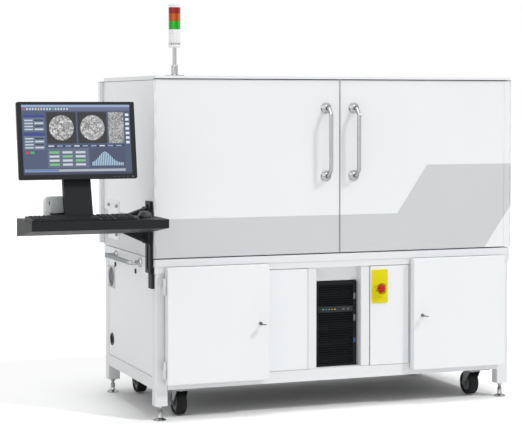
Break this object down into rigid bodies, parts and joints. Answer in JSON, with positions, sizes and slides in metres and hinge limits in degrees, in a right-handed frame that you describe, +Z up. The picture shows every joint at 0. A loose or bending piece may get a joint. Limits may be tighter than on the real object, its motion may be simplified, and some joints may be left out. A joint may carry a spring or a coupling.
{
  "type": "x-ray microscope",
  "caption": "Shielded x-ray microscope cabinet on a castered tube frame, with hinged doors, beacon, operator console and an inner source, sample stage and detector.",
  "frame": {"origin": "middle of the bounding box's footprint, on the floor", "axes": "+X to the right as the operator faces the doors, +Y from the doors to the rear, +Z up"},
  "size_m": [2.7796, 1.306, 2.0885],
  "materials": {
    "white_paint": "fine-textured white powder coat",
    "panel_grey": "light grey powder coat",
    "chrome": "polished chrome",
    "zinc_steel": "zinc plated",
    "tyre": "black rubber, slightly dusty",
    "black_plastic": "fine-grained black",
    "fan_metal": "grey wire and frame",
    "yellow_plastic": "signal yellow",
    "red_plastic": "signal red",
    "white_plastic": "smooth white",
    "lens_green": "translucent green",
    "lens_amber": "translucent amber",
    "lens_red": "translucent red",
    "case_black": "satin black",
    "console_dark": "dark grey textured coat",
    "pod_grey": "warm grey",
    "granite": "lapped black granite",
    "isolator_rubber": "black bellows",
    "ground_steel": "ground",
    "stage_aluminium": "satin anodised",
    "tube_steel": "turned stainless",
    "detector_paint": "light textured coat"
  },
  "bodies": {
    "cabinet": {"base_frame": "white_paint", "base_deck": "white_paint", "base_panels": "panel_grey", "grab_bars": "chrome", "cable_port": "black_plastic", "fan_guard": "fan_metal", "side_latches": "black_plastic", "stop_housing": "yellow_plastic", "enclosure_shell": "white_paint", "roof_cover": "white_paint", "enclosure_covers": "white_paint", "port_cover": "panel_grey", "door_hinge_leaves": "white_paint", "lower_door_hinges": "white_paint", "beacon_stand": "zinc_steel", "beacon_housing": "white_plastic", "lens_green": "lens_green", "lens_amber": "lens_amber", "lens_red": "lens_red", "computer_case": "case_black", "computer_bezel": "black_plastic", "console_rail": "console_dark", "granite_base": "granite", "isolators": "isolator_rubber", "guide_rails": "ground_steel", "caster_plates": "zinc_steel", "levelling_feet": "chrome"},
    "fan_rotor": {"fan_rotor": "black_plastic"},
    "stop_button": {"stop_button": "red_plastic"},
    "front_door_left": {"front_door_left": "white_paint", "door_handle_left": "chrome"},
    "lower_door_left": {"lower_door_left": "white_paint"},
    "door_lock_left": {"door_lock_left": "chrome"},
    "caster_fork_front_left": {"caster_fork_front_left": "zinc_steel"},
    "caster_wheel_front_left": {"caster_wheel_front_left": "tyre"},
    "caster_fork_rear_left": {"caster_fork_rear_left": "zinc_steel"},
    "caster_wheel_rear_left": {"caster_wheel_rear_left": "tyre"},
    "front_door_right": {"front_door_right": "white_paint", "door_handle_right": "chrome"},
    "lower_door_right": {"lower_door_right": "white_paint"},
    "door_lock_right": {"door_lock_right": "chrome"},
    "caster_fork_front_right": {"caster_fork_front_right": "zinc_steel"},
    "caster_wheel_front_right": {"caster_wheel_front_right": "tyre"},
    "caster_fork_rear_right": {"caster_fork_rear_right": "zinc_steel"},
    "caster_wheel_rear_right": {"caster_wheel_rear_right": "tyre"},
    "console_arm": {"console_arm": "console_dark", "keyboard_tray": "console_dark", "keyboard": "black_plastic", "mouse": "black_plastic", "control_pod": "pod_grey", "monitor_stand": "black_plastic"},
    "monitor": {"monitor": "black_plastic"},
    "source_carriage": {"source_carriage": "stage_aluminium", "xray_tube": "tube_steel"},
    "stage_carriage": {"stage_carriage": "stage_aluminium"},
    "stage_cross_slide": {"stage_cross_slide": "stage_aluminium"},
    "stage_lift": {"stage_lift": "stage_aluminium"},
    "rotary_table": {"rotary_table": "ground_steel"},
    "detector_carriage": {"detector_carriage": "detector_paint"},
    "objective_turret": {"objective_turret": "stage_aluminium"}
  },
  "joints": [
    {"name": "fan_spin", "type": "hinge", "parent": "cabinet", "child": "fan_rotor", "pos_m": [-0.65675, 0.481, 0.647], "axis": [1, 0, 0], "continuous": true},
    {"name": "stop_press", "type": "slide", "parent": "cabinet", "child": "stop_button", "axis": [0, 1, 0], "range_m": [0, 0.005], "stiffness_N_per_m": 1500},
    {"name": "front_door_left_hinge", "type": "hinge", "parent": "cabinet", "child": "front_door_left", "pos_m": [-0.67775, -0.333, 0.816], "axis": [0, 0, -1], "range_deg": [0, 90]},
    {"name": "lower_door_left_hinge", "type": "hinge", "parent": "cabinet", "child": "lower_door_left", "pos_m": [-0.63225, -0.3545, 0.259], "axis": [0, 0, -1], "range_deg": [0, 110]},
    {"name": "door_lock_left_turn", "type": "hinge", "parent": "lower_door_left", "child": "door_lock_left", "pos_m": [-0.13175, -0.333, 0.473], "axis": [0, 1, 0], "range_deg": [0, 90]},
    {"name": "caster_swivel_front_left", "type": "hinge", "parent": "cabinet", "child": "caster_fork_front_left", "pos_m": [-0.50875, -0.229, 0.155], "axis": [0, 0, 1], "continuous": true},
    {"name": "caster_spin_front_left", "type": "hinge", "parent": "caster_fork_front_left", "child": "caster_wheel_front_left", "pos_m": [-0.50875, -0.194, 0.0675], "axis": [1, 0, 0], "continuous": true},
    {"name": "caster_swivel_rear_left", "type": "hinge", "parent": "cabinet", "child": "caster_fork_rear_left", "pos_m": [-0.50875, 0.462, 0.155], "axis": [0, 0, 1], "continuous": true},
    {"name": "caster_spin_rear_left", "type": "hinge", "parent": "caster_fork_rear_left", "child": "caster_wheel_rear_left", "pos_m": [-0.50875, 0.497, 0.0675], "axis": [1, 0, 0], "continuous": true},
    {"name": "front_door_right_hinge", "type": "hinge", "parent": "cabinet", "child": "front_door_right", "pos_m": [1.32425, -0.333, 0.816], "axis": [0, 0, 1], "range_deg": [0, 90]},
    {"name": "lower_door_right_hinge", "type": "hinge", "parent": "cabinet", "child": "lower_door_right", "pos_m": [1.27875, -0.3545, 0.259], "axis": [0, 0, 1], "range_deg": [0, 110]},
    {"name": "door_lock_right_turn", "type": "hinge", "parent": "lower_door_right", "child": "door_lock_right", "pos_m": [0.77825, -0.333, 0.473], "axis": [0, -1, 0], "range_deg": [0, 90]},
    {"name": "caster_swivel_front_right", "type": "hinge", "parent": "cabinet", "child": "caster_fork_front_right", "pos_m": [1.15525, -0.229, 0.155], "axis": [0, 0, 1], "continuous": true},
    {"name": "caster_spin_front_right", "type": "hinge", "parent": "caster_fork_front_right", "child": "caster_wheel_front_right", "pos_m": [1.15525, -0.194, 0.0675], "axis": [1, 0, 0], "continuous": true},
    {"name": "caster_swivel_rear_right", "type": "hinge", "parent": "cabinet", "child": "caster_fork_rear_right", "pos_m": [1.15525, 0.462, 0.155], "axis": [0, 0, 1], "continuous": true},
    {"name": "caster_spin_rear_right", "type": "hinge", "parent": "caster_fork_rear_right", "child": "caster_wheel_rear_right", "pos_m": [1.15525, 0.497, 0.0675], "axis": [1, 0, 0], "continuous": true},
    {"name": "console_height", "type": "slide", "parent": "cabinet", "child": "console_arm", "axis": [0, 0, 1], "range_m": [-0.14, 0.025]},
    {"name": "monitor_tilt", "type": "hinge", "parent": "console_arm", "child": "monitor", "pos_m": [-1.09975, -0.40521, 1.39161], "axis": [-1, 0, 0], "range_deg": [-2, 10]},
    {"name": "source_travel", "type": "slide", "parent": "cabinet", "child": "source_carriage", "axis": [1, 0, 0], "range_m": [-0.2, 0.1]},
    {"name": "stage_travel_x", "type": "slide", "parent": "cabinet", "child": "stage_carriage", "axis": [1, 0, 0], "range_m": [-0.03, 0.03]},
    {"name": "stage_travel_y", "type": "slide", "parent": "stage_carriage", "child": "stage_cross_slide", "axis": [0, 1, 0], "range_m": [-0.04, 0.04]},
    {"name": "stage_travel_z", "type": "slide", "parent": "stage_cross_slide", "child": "stage_lift", "axis": [0, 0, 1], "range_m": [-0.03, 0.03]},
    {"name": "stage_rotation", "type": "hinge", "parent": "stage_lift", "child": "rotary_table", "pos_m": [0.32325, 0.162, 1.198], "axis": [0, 0, 1], "continuous": true},
    {"name": "detector_travel", "type": "slide", "parent": "cabinet", "child": "detector_carriage", "axis": [1, 0, 0], "range_m": [-0.1, 0.15]},
    {"name": "turret_turn", "type": "hinge", "parent": "detector_carriage", "child": "objective_turret", "pos_m": [0.65325, 0.162, 1.415], "axis": [1, 0, 0], "continuous": true}
  ]
}
